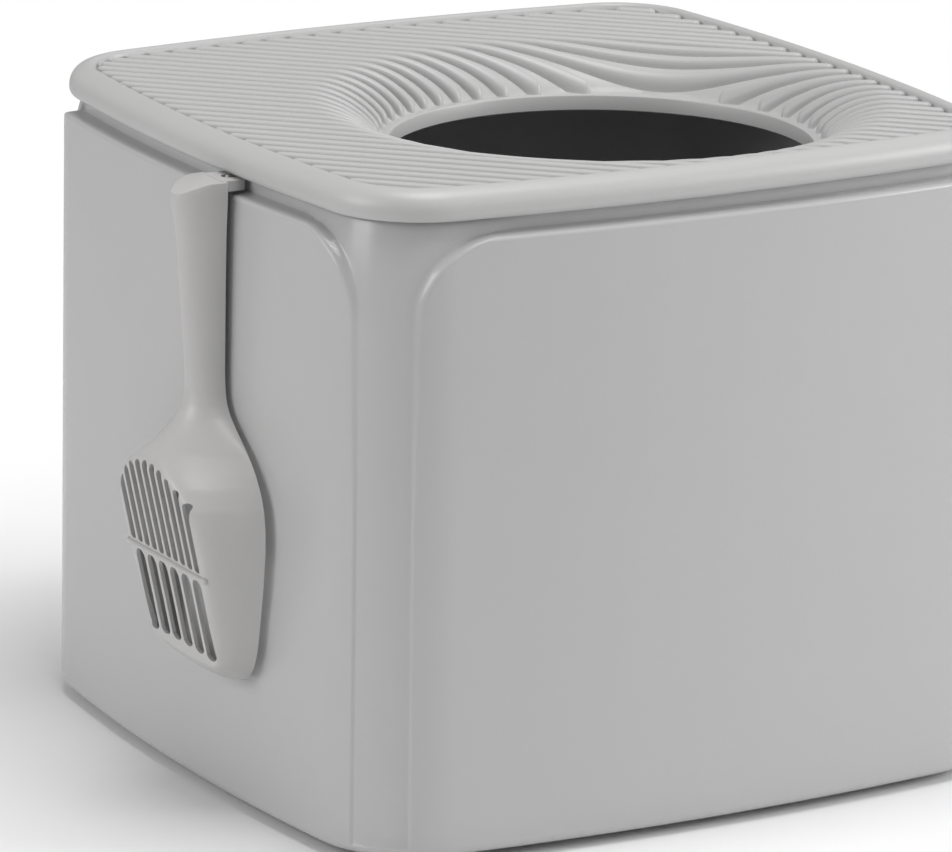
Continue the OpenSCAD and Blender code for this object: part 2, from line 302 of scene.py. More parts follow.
class SurfaceEffects:
    """The node groups that the finishes share."""

    def __init__(self) -> None:
        """Builds each group once."""
        self.grain = self._moulded_grain()
        self.tone = self._moulding_tone()
        self.dust = self._settled_dust()

    def _noise(self, tree: bpy.types.NodeTree, scale: object, detail: float,
               rough: float) -> bpy.types.NodeSocket:
        """Adds noise over the object's own coordinates and returns its value."""
        coords = tree.nodes.new("ShaderNodeTexCoord")
        noise = tree.nodes.new("ShaderNodeTexNoise")
        tree.links.new(coords.outputs["Object"], noise.inputs["Vector"])
        if isinstance(scale, bpy.types.NodeSocket):
            tree.links.new(scale, noise.inputs["Scale"])
        else:
            noise.inputs["Scale"].default_value = scale
        noise.inputs["Detail"].default_value = detail
        noise.inputs["Roughness"].default_value = rough
        return noise.outputs["Fac"]

    def _moulded_grain(self) -> bpy.types.NodeTree:
        """Fine texture of a moulded surface: a height and a roughness."""
        g = new_group("moulded_grain",
                      [("Scale", "NodeSocketFloat", 1500.0), ("Base Roughness", "NodeSocketFloat", 0.4),
                       ("Spread", "NodeSocketFloat", 0.08)],
                      [("Height", "NodeSocketFloat"), ("Roughness", "NodeSocketFloat")])
        given, out = g.nodes["in"], g.nodes["out"]
        fine = self._noise(g, given.outputs["Scale"], 3.0, 0.6)
        broad = self._noise(g, 9.0, 4.0, 0.55)
        g.links.new(fine, out.inputs["Height"])
        swing = math_node(g, "MULTIPLY", math_node(g, "SUBTRACT", broad, 0.5), given.outputs["Spread"])
        g.links.new(math_node(g, "ADD", given.outputs["Base Roughness"], swing), out.inputs["Roughness"])
        return g

    def _moulding_tone(self) -> bpy.types.NodeTree:
        """A plastic's colour with faint clouding and flow marks."""
        g = new_group("moulding_tone",
                      [("Color", "NodeSocketColor", (0.5, 0.5, 0.5, 1.0)),
                       ("Amount", "NodeSocketFloat", 0.03)],
                      [("Color", "NodeSocketColor")])
        given, out = g.nodes["in"], g.nodes["out"]
        cloud = self._noise(g, 5.0, 5.0, 0.6)
        speck = self._noise(g, 420.0, 2.0, 0.5)
        both = math_node(g, "ADD", cloud, math_node(g, "MULTIPLY", speck, 0.35))
        gain = math_node(g, "MULTIPLY", math_node(g, "SUBTRACT", both, 0.675), given.outputs["Amount"])
        factor = math_node(g, "ADD", gain, 1.0)
        scale = g.nodes.new("ShaderNodeVectorMath")
        scale.operation = "SCALE"
        g.links.new(given.outputs["Color"], scale.inputs[0])
        g.links.new(factor, scale.inputs["Scale"])
        g.links.new(scale.outputs["Vector"], out.inputs["Color"])
        return g

    def _settled_dust(self) -> bpy.types.NodeTree:
        """A thin veil of dust on faces that look up: a mask from 0 to 1."""
        g = new_group("settled_dust", [("Amount", "NodeSocketFloat", 0.1)], [("Mask", "NodeSocketFloat")])
        given, out = g.nodes["in"], g.nodes["out"]
        coords = g.nodes.new("ShaderNodeTexCoord")
        split = g.nodes.new("ShaderNodeSeparateXYZ")
        g.links.new(coords.outputs["Normal"], split.inputs[0])
        up = math_node(g, "MAXIMUM", split.outputs["Z"], 0.0)
        patch = self._noise(g, 30.0, 6.0, 0.7)
        amount = math_node(g, "MULTIPLY", math_node(g, "MULTIPLY", up, patch), given.outputs["Amount"])
        g.links.new(amount, out.inputs["Mask"])
        return g


@dataclass(frozen=True)
class PlasticFinish:
    """A moulded plastic or rubber: its colour, gloss and grain."""

    name: str
    color: tuple[float, float, float]
    roughness: float
    roughness_spread: float = 0.08
    grain_scale: float = 1500.0
    grain_height: float = 0.00004
    tone_amount: float = 0.05
    dust: float = 0.0
    dust_color: tuple[float, float, float] = (0.8, 0.79, 0.77)
    specular: float = 0.5

    def material(self, effects: SurfaceEffects) -> bpy.types.Material:
        """Builds the material.

        Args:
            effects: The shared node groups.

        Returns:
            The finished material.
        """
        mat = bpy.data.materials.new(self.name)
        mat.use_nodes = True
        tree = mat.node_tree
        shader = next(n for n in tree.nodes if n.type == "BSDF_PRINCIPLED")
        shader.inputs["Specular IOR Level"].default_value = self.specular

        tone = tree.nodes.new("ShaderNodeGroup")
        tone.node_tree = effects.tone
        tone.inputs["Color"].default_value = (*self.color, 1.0)
        tone.inputs["Amount"].default_value = self.tone_amount
        grain = tree.nodes.new("ShaderNodeGroup")
        grain.node_tree = effects.grain
        grain.inputs["Scale"].default_value = self.grain_scale
        grain.inputs["Base Roughness"].default_value = self.roughness
        grain.inputs["Spread"].default_value = self.roughness_spread

        base = tone.outputs["Color"]
        if self.dust > 0:
            veil = tree.nodes.new("ShaderNodeGroup")
            veil.node_tree = effects.dust
            veil.inputs["Amount"].default_value = self.dust
            mix = tree.nodes.new("ShaderNodeMix")
            mix.data_type = "RGBA"
            mix.inputs["B"].default_value = (*self.dust_color, 1.0)
            tree.links.new(veil.outputs["Mask"], mix.inputs["Factor"])
            tree.links.new(base, mix.inputs["A"])
            base = mix.outputs["Result"]
        tree.links.new(base, shader.inputs["Base Color"])
        tree.links.new(grain.outputs["Roughness"], shader.inputs["Roughness"])

        bump = tree.nodes.new("ShaderNodeBump")
        bump.inputs["Distance"].default_value = self.grain_height
        bump.inputs["Strength"].default_value = 1.0
        tree.links.new(grain.outputs["Height"], bump.inputs["Height"])
        tree.links.new(bump.outputs["Normal"], shader.inputs["Normal"])
        return mat


class Finishes:
    """Every material of the part, made once."""

    def __init__(self) -> None:
        """Builds the shared effects, then each finish."""
        effects = SurfaceEffects()
        self.shell = PlasticFinish("shell_plastic", (0.48, 0.48, 0.48), 0.22, roughness_spread=0.05,
                                   dust=0.04).material(effects)
        self.lid = PlasticFinish("lid_plastic", (0.49, 0.488, 0.486), 0.38, dust=0.05).material(effects)
        self.scoop = PlasticFinish("scoop_plastic", (0.505, 0.497, 0.494), 0.36).material(effects)
        self.rubber = PlasticFinish("foot_rubber", (0.03, 0.03, 0.03), 0.75, grain_height=0.0001,
                                    tone_amount=0.2).material(effects)


def dress(obj: bpy.types.Object, mat: bpy.types.Material, body: Body) -> None:
    """Gives a piece its material and body, and reports it.

    Args:
        obj: The piece.
        mat: Its material.
        body: The body it moves with.
    """
    obj.data.materials.clear()
    obj.data.materials.append(mat)
    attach(obj, body.value)
    LOG.info("%s: %d vertices on body %s", obj.name, len(obj.data.vertices), body.value)


# ---------------------------------------------------------------- tub


@dataclass
class Tub:
    """The bucket: walls with four raised panels, ledge, neck, floor and scoop peg."""

    foot_gap: float = 5.0
    wall: float = 3.0
    proud: float = 3.0
    lean: float = 2.88
    foot_edge: float = 6.0
    edge_r: float = 2.5
    ledge_slope: float = 8.0
    ledge_z: float = 344.0
    neck_off: float = -7.5
    neck_t: float = 2.4
    neck_top: float = 358.1
    column_half: float = 14.0
    arch_r: float = 42.0
    far_arch_r: float = 14.0
    arch_lift: float = 1.0
    flare_h: float = 64.0
    column_sunk: float = 1.1
    bevel: float = 6.5
    bevel_z: tuple[float, ...] = (60.0, 200.0, 290.0, 322.0, 336.0, 344.0)
    bevel_share: tuple[float, ...] = (0.25, 0.3, 0.75, 1.0, 0.6, 0.15)
    flare_top: float = 352.0
    flare_in: float = -6.0
    peg_r: float = 1.4
    peg_x: float = -211.0
    peg_y: float = -50.0
    peg_z: tuple[float, ...] = (342.0, 352.1, 352.6)
    peg_share: tuple[float, ...] = (1.0, 1.0, 0.7)
    peg_steps: int = 24
    floor_rings: tuple[float, ...] = (-120.0, -60.0, -20.0)
    inner_r: float = 5.0
    lip_edge: float = 0.5
    bevel_ease: float = 0.12
    whole: float = 99.0
    smooth_angle: float = 40.0

    def panel_offset(self, z: np.ndarray) -> np.ndarray:
        """How far a panel's face stands outside the lid's outline at each height."""
        slope = math.radians(self.ledge_slope)
        cx, cz = self.proud - self.edge_r, self.ledge_z - self.edge_r
        top_x, top_z = cx + self.edge_r * math.sin(slope), cz + self.edge_r * math.cos(slope)
        wall = self.proud + self.lean * (cz - z) / (cz - self.foot_gap - self.foot_edge)
        edge = cx + np.sqrt(np.clip(self.edge_r**2 - (z - cz) ** 2, 0, None))
        ledge = top_x - (z - top_z) / math.tan(slope)
        off = np.where(z <= cz, wall, np.where(z <= top_z, edge, ledge))
        return np.maximum(off, self.neck_off)

    def flare_offset(self, z: np.ndarray) -> np.ndarray:
        """Offset of the corner between two panels: flush low down, then in to the neck."""
        depth = self.proud - self.flare_in
        radius = (self.flare_h**2 + depth**2) / (2 * depth)
        low = self.flare_top - self.flare_h
        rise = np.clip(z - low, 0, self.flare_h)
        wall = self.proud + self.lean * np.clip(self.ledge_z - self.edge_r - z, 0, None) / self.ledge_z
        curve = wall - radius + np.sqrt(radius**2 - rise**2)
        return np.maximum(np.where(z <= low, self.panel_offset(z), curve), self.neck_off)

    def arch_radius(self) -> np.ndarray:
        """Radius of the arch at each station: large only beside the front left corner."""
        ring = OUTLINE.ring(0.0)
        front_left = (ring[:, 0] < 0) & (ring[:, 1] < 0)
        return np.where(front_left, self.arch_r, self.far_arch_r)

    def wall_offset(self, lateral: np.ndarray, radius: np.ndarray, z: float) -> np.ndarray:
        """Offset of the wall at one height, for each station.

        Args:
            lateral: Distance of each station from its corner's diagonal.
            radius: Radius of the arch beside each station.
            z: Height.

        Returns:
            Offsets outside the lid's outline.
        """
        centre_z = self.ledge_z + self.arch_lift - radius
        gap = lateral - self.column_half
        across = np.minimum(gap - radius, 0)
        reach = radius - np.hypot(across, np.maximum(z - centre_z, 0))
        gap = np.where((z > centre_z) & (gap >= radius), self.whole, reach)
        bevel = self.bevel * float(np.interp(z, self.bevel_z, self.bevel_share))
        share = np.clip(gap / bevel, 0, 1)
        share = share - self.bevel_ease * np.sin(2 * math.pi * share)
        level = np.full(len(lateral), z)
        panel, flare = self.panel_offset(level), self.flare_offset(level) - self.column_sunk
        return flare + (panel - flare) * share

    def heights(self) -> np.ndarray:
        """Heights of the wall's rings, close together where the shape changes."""
        low = np.linspace(self.foot_gap + self.foot_edge, 276, 28)
        arch = np.concatenate([np.arange(278.0, 326.0, 0.9), np.arange(326.0, 341.0, 0.5)])
        ledge = np.arange(341.1, 346.5, 0.3)
        neck = np.array([347.0, 348.0, 350.0, 352.0])
        return np.concatenate([low, arch, ledge, neck])

    def lateral(self) -> np.ndarray:
        """Distance of each station from the nearest diagonal."""
        ring = OUTLINE.ring(0.0)
        return np.abs(np.abs(ring[:, 0]) - np.abs(ring[:, 1])) / math.sqrt(2)

    def inside_section(self) -> list[tuple[float, float]]:
        """Section of the inside, from the neck's top down to the floor."""
        neck_in = self.neck_off - self.neck_t
        foot_in = self.proud + self.lean - self.wall
        floor = self.foot_gap + self.wall
        wall_in = self.proud - self.wall
        points = [(neck_in + self.lip_edge, self.neck_top), (neck_in, self.neck_top - self.lip_edge)]
        points += [(neck_in, self.ledge_z - 4), (wall_in - 2, self.ledge_z - 40)]
        points += [(wall_in, self.ledge_z - 62)]
        points += [(foot_in, floor + self.inner_r)]
        points += arc(foot_in - self.inner_r, floor + self.inner_r, self.inner_r, 0, -90, 6)[1:]
        return points

    def build(self, finishes: Finishes) -> None:
        """Builds and dresses the tub."""
        parts = MeshParts()
        lateral, radius = self.lateral(), self.arch_radius()
        foot_off = self.proud + self.lean
        rows = [lifted(OUTLINE.ring(o), self.foot_gap) for o in self.floor_rings]
        foot = arc(foot_off - self.foot_edge, self.foot_gap + self.foot_edge, self.foot_edge, -90, 0, 8)
        for off, z in foot[:-1]:
            rows.append(lifted(OUTLINE.ring(off), z))
        for z in self.heights():
            rows.append(lifted(OUTLINE.ring(self.wall_offset(lateral, radius, z)), z))
        neck = [(self.neck_off, 352.4), (self.neck_off, 355.0)]
        neck += [(self.neck_off, self.neck_top - self.lip_edge)]
        neck += [(self.neck_off - self.lip_edge, self.neck_top)]
        for off, z in neck:
            rows.append(lifted(OUTLINE.ring(off), z))
        for off, z in self.inside_section():
            rows.append(lifted(OUTLINE.ring(off), z))
        floor = self.foot_gap + self.wall
        rows += [lifted(OUTLINE.ring(o), floor) for o in self.floor_rings[::-1]]
        parts.band(rows, cap_start=True, cap_end=True)
        turns = np.linspace(0, 2 * math.pi, self.peg_steps + 1)[:-1]
        peg = []
        for share, z in zip(self.peg_share, self.peg_z):
            r = self.peg_r * share
            peg.append(np.column_stack([self.peg_x + r * np.cos(turns), self.peg_y + r * np.sin(turns),
                                        np.full(self.peg_steps, z)]))
        parts.band(peg, cap_start=True, cap_end=True)
        obj = parts.build("tub_shell", self.smooth_angle)
        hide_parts("tub")
        dress(obj, finishes.shell, Body.BOX)


# ---------------------------------------------------------------- lid


@dataclass
class Lid:
    """The lid: bead rim, sunk floor with ribs, funnel, collar and skirt."""

    crest: float = 370.0
    top_r: float = 11.5
    lip_r: float = 4.5
    lip_z: float = 357.0
    border: float = 14.0
    rib_top: float = 368.6
    rib_h: float = 4.0
    plate: float = 1.6
    rim_t: float = 3.0
    channel: float = 358.5
    skirt_off: float = -10.4
    skirt_t: float = 2.5
    skirt_h: float = 14.0
    hole_x: float = 32.0
    hole_y: float = -32.0
    hole_r: float = 119.0
    ring_w: float = 3.4
    ring_z: float = 344.0
    funnel_r: float = 164.0
    edge_r: float = 50.0
    collar_h: float = 9.0
    collar_t: float = 2.5
    pitch: float = 11.8
    rib_w: float = 6.3
    rib_step: float = 0.25
    rib_least: float = 6.0
    rib_margin: float = 1.5
    spoke_rings: int = 70
    seam: float = 0.6
    shell_angle: float = 40.0
    rib_angle: float = 60.0

    def slope_height(self, r: np.ndarray, sunk: float) -> np.ndarray:
        """Height of the funnel at a distance from the hole's axis.

        Args:
            r: Distance from the axis.
            sunk: Depth below the ribs' tops, measured square to the surface.

        Returns:
            Height above the floor.
        """
        radius = self.edge_r - sunk
        base = self.rib_top - self.edge_r
        run = np.clip(self.funnel_r - r, 0, None)
        curve = base + np.sqrt(np.clip(radius**2 - run**2, 0, None))
        line = base + 0.6 * radius - (run - 0.8 * radius) * 4 / 3
        return np.where(run <= 0.8 * radius, curve, line)

    def floor_height(self, r: np.ndarray) -> np.ndarray:
        """Height of the sunk floor between the ribs."""
        return np.maximum(self.slope_height(r, self.rib_h), self.ring_z)

    def rim_section(self) -> list[tuple[float, float]]:
        """Section of the border, bead and channel, from the floor's edge outwards."""
        floor = self.rib_top - self.rib_h
        points = [(-self.border - self.seam, floor), (-self.border, floor + 0.5)]
        points += [(-self.border + 0.3, self.rib_top), (-self.border + 1.2, self.crest - 0.45)]
        points += arc(-self.top_r, self.crest - self.top_r, self.top_r, 90, 0, 16)
        points += arc(-self.lip_r, self.lip_z, self.lip_r, 0, -52, 8)
        points += [(-self.rim_t, self.lip_z), (-self.rim_t, self.channel), (self.skirt_off, self.channel)]
        low, skirt_in = self.channel - self.skirt_h, self.skirt_off - self.skirt_t
        points += [(self.skirt_off, low), (skirt_in, low)]
        points += [(skirt_in, floor - self.plate), (-self.border - 0.8, floor - self.plate)]
        return points

    def spokes(self) -> tuple[np.ndarray, np.ndarray, np.ndarray]:
        """Rays from the hole's axis to the border, one for each station.

        Returns:
            The unit directions, and each ray's length to the border's inner edge.
        """
        edge = OUTLINE.ring(-self.border - self.seam)
        away = edge - np.array([self.hole_x, self.hole_y])
        length = np.hypot(away[:, 0], away[:, 1])
        return away[:, 0] / length, away[:, 1] / length, length

    def around(self, share: float, inner: float) -> tuple[np.ndarray, np.ndarray]:
        """Plan ring between the hole and the border.

        Args:
            share: 0 at the inner radius and 1 at the border.
            inner: The inner radius.

        Returns:
            The ring's X and Y, and its distances from the hole's axis.
        """
        ux, uy, length = self.spokes()
        r = inner + (length - inner) * share
        return np.column_stack([self.hole_x + ux * r, self.hole_y + uy * r]), r

    def build_shell(self, finishes: Finishes) -> None:
        """Builds the rim, floor, funnel, collar and skirt as one closed mesh."""
        ring_r = self.hole_r + self.ring_w
        ring_z = self.ring_z
        rows = [lifted(OUTLINE.ring(off), z) for off, z in self.rim_section()]
        shares = np.linspace(0, 1, self.spoke_rings)[1:-1]
        under = [self.around(s, self.hole_r + self.collar_t + 0.5) for s in shares[::-1]]
        for ring, r in under:
            z = np.maximum(self.slope_height(r, self.rib_h + self.plate), ring_z - self.plate)
            rows.append(lifted(ring, z))
        low, under_z = ring_z - self.collar_h, ring_z - self.plate
        hole, outer = self.hole_r, self.hole_r + self.collar_t
        collar = [(outer + 0.3, under_z - 0.6), (outer, under_z - 1.2)]
        collar += [(outer, low + 0.5), (outer - 0.5, low)]
        collar += [(hole + 0.5, low), (hole, low + 0.5), (hole, ring_z - 1.0)]
        collar += [(hole + 0.3, ring_z - 0.3), (hole + 1.0, ring_z), (ring_r, ring_z)]
        for r, z in collar:
            ring, _ = self.around(0.0, r)
            rows.append(lifted(ring, z))
        for s in shares:
            ring, r = self.around(s, ring_r)
            rows.append(lifted(ring, self.floor_height(r)))
        parts = MeshParts()
        parts.band(rows, closed=True)
        obj = parts.build("lid_shell", self.shell_angle)
        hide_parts("lid")
        dress(obj, finishes.lid, Body.LID)

    def inside(self, x: np.ndarray, y: np.ndarray, off: float) -> np.ndarray:
        """Whether points are inside the outline pushed outwards by off."""
        inner = OUTLINE.corner_centre
        big = OUTLINE.bow_radius + off
        c = OUTLINE.bow_centre
        ax, ay = np.abs(x), np.abs(y)
        sides = (np.hypot(ax + c, ay) <= big) & (np.hypot(ax, ay + c) <= big)
        bearing = np.arctan2(ay - inner, ax - inner)
        in_corner = (bearing > OUTLINE.side_angle) & (bearing < math.pi / 2 - OUTLINE.side_angle)
        round_ok = np.hypot(ax - inner, ay - inner) <= OUTLINE.corner + off
        return sides & (~in_corner | round_ok)

    def rib_spans(self, s: float) -> list[tuple[float, float]]:
        """Where a rib on the line at distance s from the diagonal starts and stops."""
        t = np.arange(-300.0, 300.0, self.rib_step)
        c = math.sqrt(0.5)
        x, y = c * (s + t), c * (s - t)
        ok = self.inside(x, y, -self.border - 1.6)
        ok &= np.hypot(x - self.hole_x, y - self.hole_y) >= self.hole_r + self.ring_w + self.rib_margin
        edges = np.flatnonzero(np.diff(np.concatenate([[0], ok.astype(int), [0]])))
        pairs = zip(edges[::2], edges[1::2])
        return [(t[a], t[b - 1]) for a, b in pairs if t[b - 1] - t[a] > self.rib_least]

    def rib(self, parts: MeshParts, s: float, start: float, end: float) -> None:
        """Adds one rounded bar along its line."""
        half = self.rib_w / 2
        across = np.array([-1.0, -0.97, -0.86, -0.66, -0.36, 0.0, 0.36, 0.66, 0.86, 0.97, 1.0])
        crown = np.array([-0.4, 0.35, 0.66, 0.87, 0.975, 1.0, 0.975, 0.87, 0.66, 0.35, -0.4])
        ends = half * (1 - np.cos(np.linspace(0.12, math.pi / 2, 7)))
        middle = np.linspace(start + half, end - half, max(4, int((end - start) / 3.0)))
        t_all = np.concatenate([start + ends[:-1], middle, (end - ends[:-1])[::-1]])
        c = math.sqrt(0.5)
        rows = []
        for t in t_all:
            near = min(t - start, end - t)
            swell = math.sqrt(max(0.0, 1 - max(0.0, 1 - near / half) ** 2))
            lat = s + across * half * swell
            x, y = c * (lat + t), c * (lat - t)
            r = np.hypot(x - self.hole_x, y - self.hole_y)
            low = self.slope_height(r, self.rib_h)
            high = self.slope_height(r, 0.0)
            lift = np.where(crown > 0, crown * (0.35 + 0.65 * swell), crown)
            rows.append(np.column_stack([x, y, low + (high - low) * lift]))
        n = len(across)
        faces = []
        for j in range(len(rows) - 1):
            faces += [(j * n + i, j * n + i + 1, (j + 1) * n + i + 1, (j + 1) * n + i) for i in range(n - 1)]
            faces.append((j * n + n - 1, j * n, (j + 1) * n, (j + 1) * n + n - 1))
        last = (len(rows) - 1) * n
        faces.append(tuple(range(n - 1, -1, -1)))
        faces.append(tuple(last + i for i in range(n)))
        parts.add(np.concatenate(rows), faces)

    def build_ribs(self, finishes: Finishes) -> None:
        """Builds every rib as one piece."""
        parts = MeshParts()
        count = int(OUTLINE.half * 1.2 / self.pitch)
        for k in range(-count, count + 1):
            for start, end in self.rib_spans(k * self.pitch):
                self.rib(parts, k * self.pitch, start, end)
        dress(parts.build("lid_ribs", self.rib_angle), finishes.lid, Body.LID)


# ---------------------------------------------------------------- scoop


@dataclass
class Scoop:
    """The slotted scoop: cup, channel handle, arm round the peg and cross bar.

    Depths are measured outwards from the rim's plane, widths along the wall.
    """

    rim_x: float = -218.2
    centre_y: float = -50.0
    skin: float = 2.2
    top_z: float = 352.2
    floor_z: float = 82.2
    roof_z: float = 348.8
    face_low: tuple[float, float] = (90.0, 18.5)
    face_high: tuple[float, float] = (194.0, 40.9)
    bar_z: float = 141.5
    fine_slots: int = 10
    fine_pitch: float = 8.6
    fine_width: float = 5.9
    wide_slots: int = 6
    wide_pitch: float = 13.7
    wide_width: float = 10.6
    arm_z: float = 346.5
    arm_in: float = -12.9
    peg_in: float = -7.2
    fork: float = 7.5
    half_steps: int = 30
    cavity_z: float = 82.3
    shoulder_r: float = 11.0
    side_least: float = 3.5
    toe: tuple[float, float] = (79.0, 90.0)
    throat: tuple[float, float] = (200.0, 232.0)
    tip_z: float = 318.0
    tip_drop: float = 5.4
    tip_start: float = 8.0
    tip_run: float = 16.5
    slot_cut: tuple[float, float] = (5.0, 60.0)
    bar_half: float = 45.5
    bar_r: float = 1.9
    arm_half: float = 12.0
    arm_corner: float = 2.0
    arm_out: float = 1.6
    shell_angle: float = 38.0
    arm_angle: float = 50.0

    def half_width(self, z: float) -> float:
        """Half the width of the outline at a height."""
        heights = [79.2, 80.5, 83, 87, 91, 96, 102, 115, 137, 158, 170, 179, 186, 191, 197,
                   202, 208, 213, 218, 223, 228, 234, 242, 250, 290, 322, 334, 344, 349]
        widths = [35, 39, 42.5, 45.6, 47.8, 49.8, 51.6, 54, 57.7, 59.9, 59.7, 58.2, 55.6, 52.8, 48.6,
                  44, 37.4, 31, 24.5, 18.6, 14.8, 12.6, 11.7, 11.5, 12, 12.9, 13.7, 14.6, 14.7]
        return float(np.interp(z, heights, widths))

    def depth(self, z: float) -> float:
        """Greatest depth of the outline at a height."""
        heights = [79.2, 80.5, 83, 87, 91, 95, 194, 198, 202, 207, 212,
                   217, 222, 228, 236, 250, 290, 322, 334, 344, 349]
        depths = [9, 12, 15.4, 18, 19.2, 19.6, 40.9, 40.6, 38.8, 35, 30.4,
                  26, 22.2, 19, 17.4, 18, 20.8, 23, 24.2, 25.6, 26]
        return float(np.interp(z, heights, depths))

    def flat_half(self, z: float) -> float:
        """Half the width of the flat slotted face at a height."""
        heights = [79.2, 90, 120, 150, 168, 180, 190, 198, 206, 214, 222]
        widths = [30, 41, 45.5, 49, 48, 43, 33, 21, 12, 8, 6]
        return float(np.interp(z, heights, widths))

    def outline(self, z: float, inset: float) -> np.ndarray:
        """Half-closed section at a height.

        Args:
            z: Height.
            inset: Distance inside the outer surface.

        Returns:
            Widths along the wall and depths, from one rim edge to the other.
        """
        u = np.linspace(-1, 1, 2 * self.half_steps + 1) * math.pi / 2
        half, deep = self.half_width(z) - inset, self.depth(z) - inset
        across = half * np.sin(u)
        flat = min(self.flat_half(z) - inset * 0.6, half - self.side_least)
        side = deep / (half - flat) * (half - np.abs(across))
        soft = min(self.shoulder_r, deep * 0.8)
        near = np.clip(soft - np.abs(side - deep), 0, None) / soft
        cup = np.minimum(side, deep) - near**2 * soft / 4
        round_side = deep * np.cos(u) ** 0.9
        share = float(smoothstep(np.array([z]), *self.throat)[0])
        low = float(smoothstep(np.array([z]), *self.toe)[0])
        out = cup * (1 - share) + round_side * share
        out = out * low + deep * np.cos(u) ** 0.7 * (1 - low)
        return np.column_stack([across, np.clip(out, 0, None)])

    def row(self, z: float, hollow: bool, trim: float = 0.0) -> np.ndarray:
        """One ring of the skin: the outer section and the way back inside it."""
        outer = self.outline(z, trim)
        inner = self.outline(z, self.skin)[::-1]
        if not hollow:
            inner = np.column_stack([inner[:, 0], np.full(len(inner), 0.02)])
        ring = np.concatenate([outer, inner])
        lean = float(smoothstep(np.array([z]), self.tip_z, self.top_z)[0])
        drop = lean * self.tip_drop * (np.clip(ring[:, 1] - self.tip_start, 0, None) / self.tip_run) ** 1.5
        return np.column_stack([self.rim_x - ring[:, 1], self.centre_y + ring[:, 0], z - drop])

    def cutter(self) -> bpy.types.Object:
        """Every slot as one object of round-ended bars that cross the face."""
        parts = MeshParts()
        slots = []
        for i in range(self.fine_slots):
            y = (i - (self.fine_slots - 1) / 2) * self.fine_pitch
            slots.append((y, self.bar_z + 4.6, self.face_high[0] + 1.5 - 0.0095 * y * y, self.fine_width))
        for i in range(self.wide_slots):
            y = (i - (self.wide_slots - 1) / 2) * self.wide_pitch
            slots.append((y, self.face_low[0] + 6.5 - 0.001 * y * y, self.bar_z - 7.4, self.wide_width))
        for y, low, high, width in slots:
            r = width / 2
            turn = np.linspace(0, math.pi, 13)
            upper = np.column_stack([y + r * np.cos(turn), high + r * np.sin(turn)])
            lower = np.column_stack([y - r * np.cos(turn), low - r * np.sin(turn) * 0.6])
            ring = np.concatenate([upper, lower])
            sides = []
            for d in self.slot_cut:
                sides.append(np.column_stack([np.full(len(ring), self.rim_x - d),
                                              self.centre_y + ring[:, 0], ring[:, 1]]))
            parts.band(sides, cap_start=True, cap_end=True)
        return parts.build("scoop_slots")

    def bar(self, parts: MeshParts, ends: Sequence[tuple[float, float, float]], r: float) -> None:
        """Adds a round bar with domed ends between two points."""
        a, b = (np.array(e, float) for e in ends)
        along = (b - a) / np.linalg.norm(b - a)
        side = np.cross(along, [0.0, 0.0, 1.0])
        side /= np.linalg.norm(side)
        up = np.cross(side, along)
        turn = np.linspace(0, 2 * math.pi, 17)[:-1]
        circle = np.outer(np.cos(turn), side) + np.outer(np.sin(turn), up)
        dome = ((0.95, 0.3), (0.7, 0.7), (0.3, 0.95), (0.0, 1.0))
        rows = [a + along * (-t * r) + r * scale * circle for t, scale in dome]
        rows += [b + along * (t * r) + r * scale * circle for t, scale in dome[::-1]]
        parts.band(rows, cap_start=True, cap_end=True)

    def arm(self, parts: MeshParts) -> None:
        """Adds the arm, a block with an open slot round the peg."""
        turn = np.linspace(math.pi / 2, -math.pi / 2, 17)
        r = self.fork / 2
        mouth = np.column_stack([self.peg_in + r * np.cos(turn), r * np.sin(turn)])
        half, corner = self.arm_half, self.arm_corner
        edge = [(self.arm_out, -half), (self.arm_in + corner, -half)]
        edge += [(self.arm_in, corner - half), (self.arm_in, -r)]
        other = [(self.arm_in, r), (self.arm_in, half - corner)]
        other += [(self.arm_in + corner, half), (self.arm_out, half)]
        plan = np.array(edge + mouth[::-1].tolist() + other)
        n = len(plan)
        rows = []
        for z in (self.arm_z, self.top_z):
            rows.append(np.column_stack([self.rim_x - plan[:, 0], self.centre_y + plan[:, 1], np.full(n, z)]))
        faces = [tuple(range(n))[::-1], tuple(range(n, 2 * n))]
        faces += [(i, (i + 1) % n, n + (i + 1) % n, n + i) for i in range(n)]
        parts.add(np.concatenate(rows), faces)

    def heights(self) -> np.ndarray:
        """Heights of the skin's rings, close together where the shape changes."""
        toe = [[79.2, 79.8, 80.6, 81.6], np.arange(self.cavity_z, 102, 1.2)]
        cup = [np.arange(102, 176, 4.0), np.arange(176, 252, 1.5)]
        handle = [np.arange(252, 320, 8.0), np.arange(320, 348.5, 2.0)]
        return np.concatenate(toe + cup + handle)

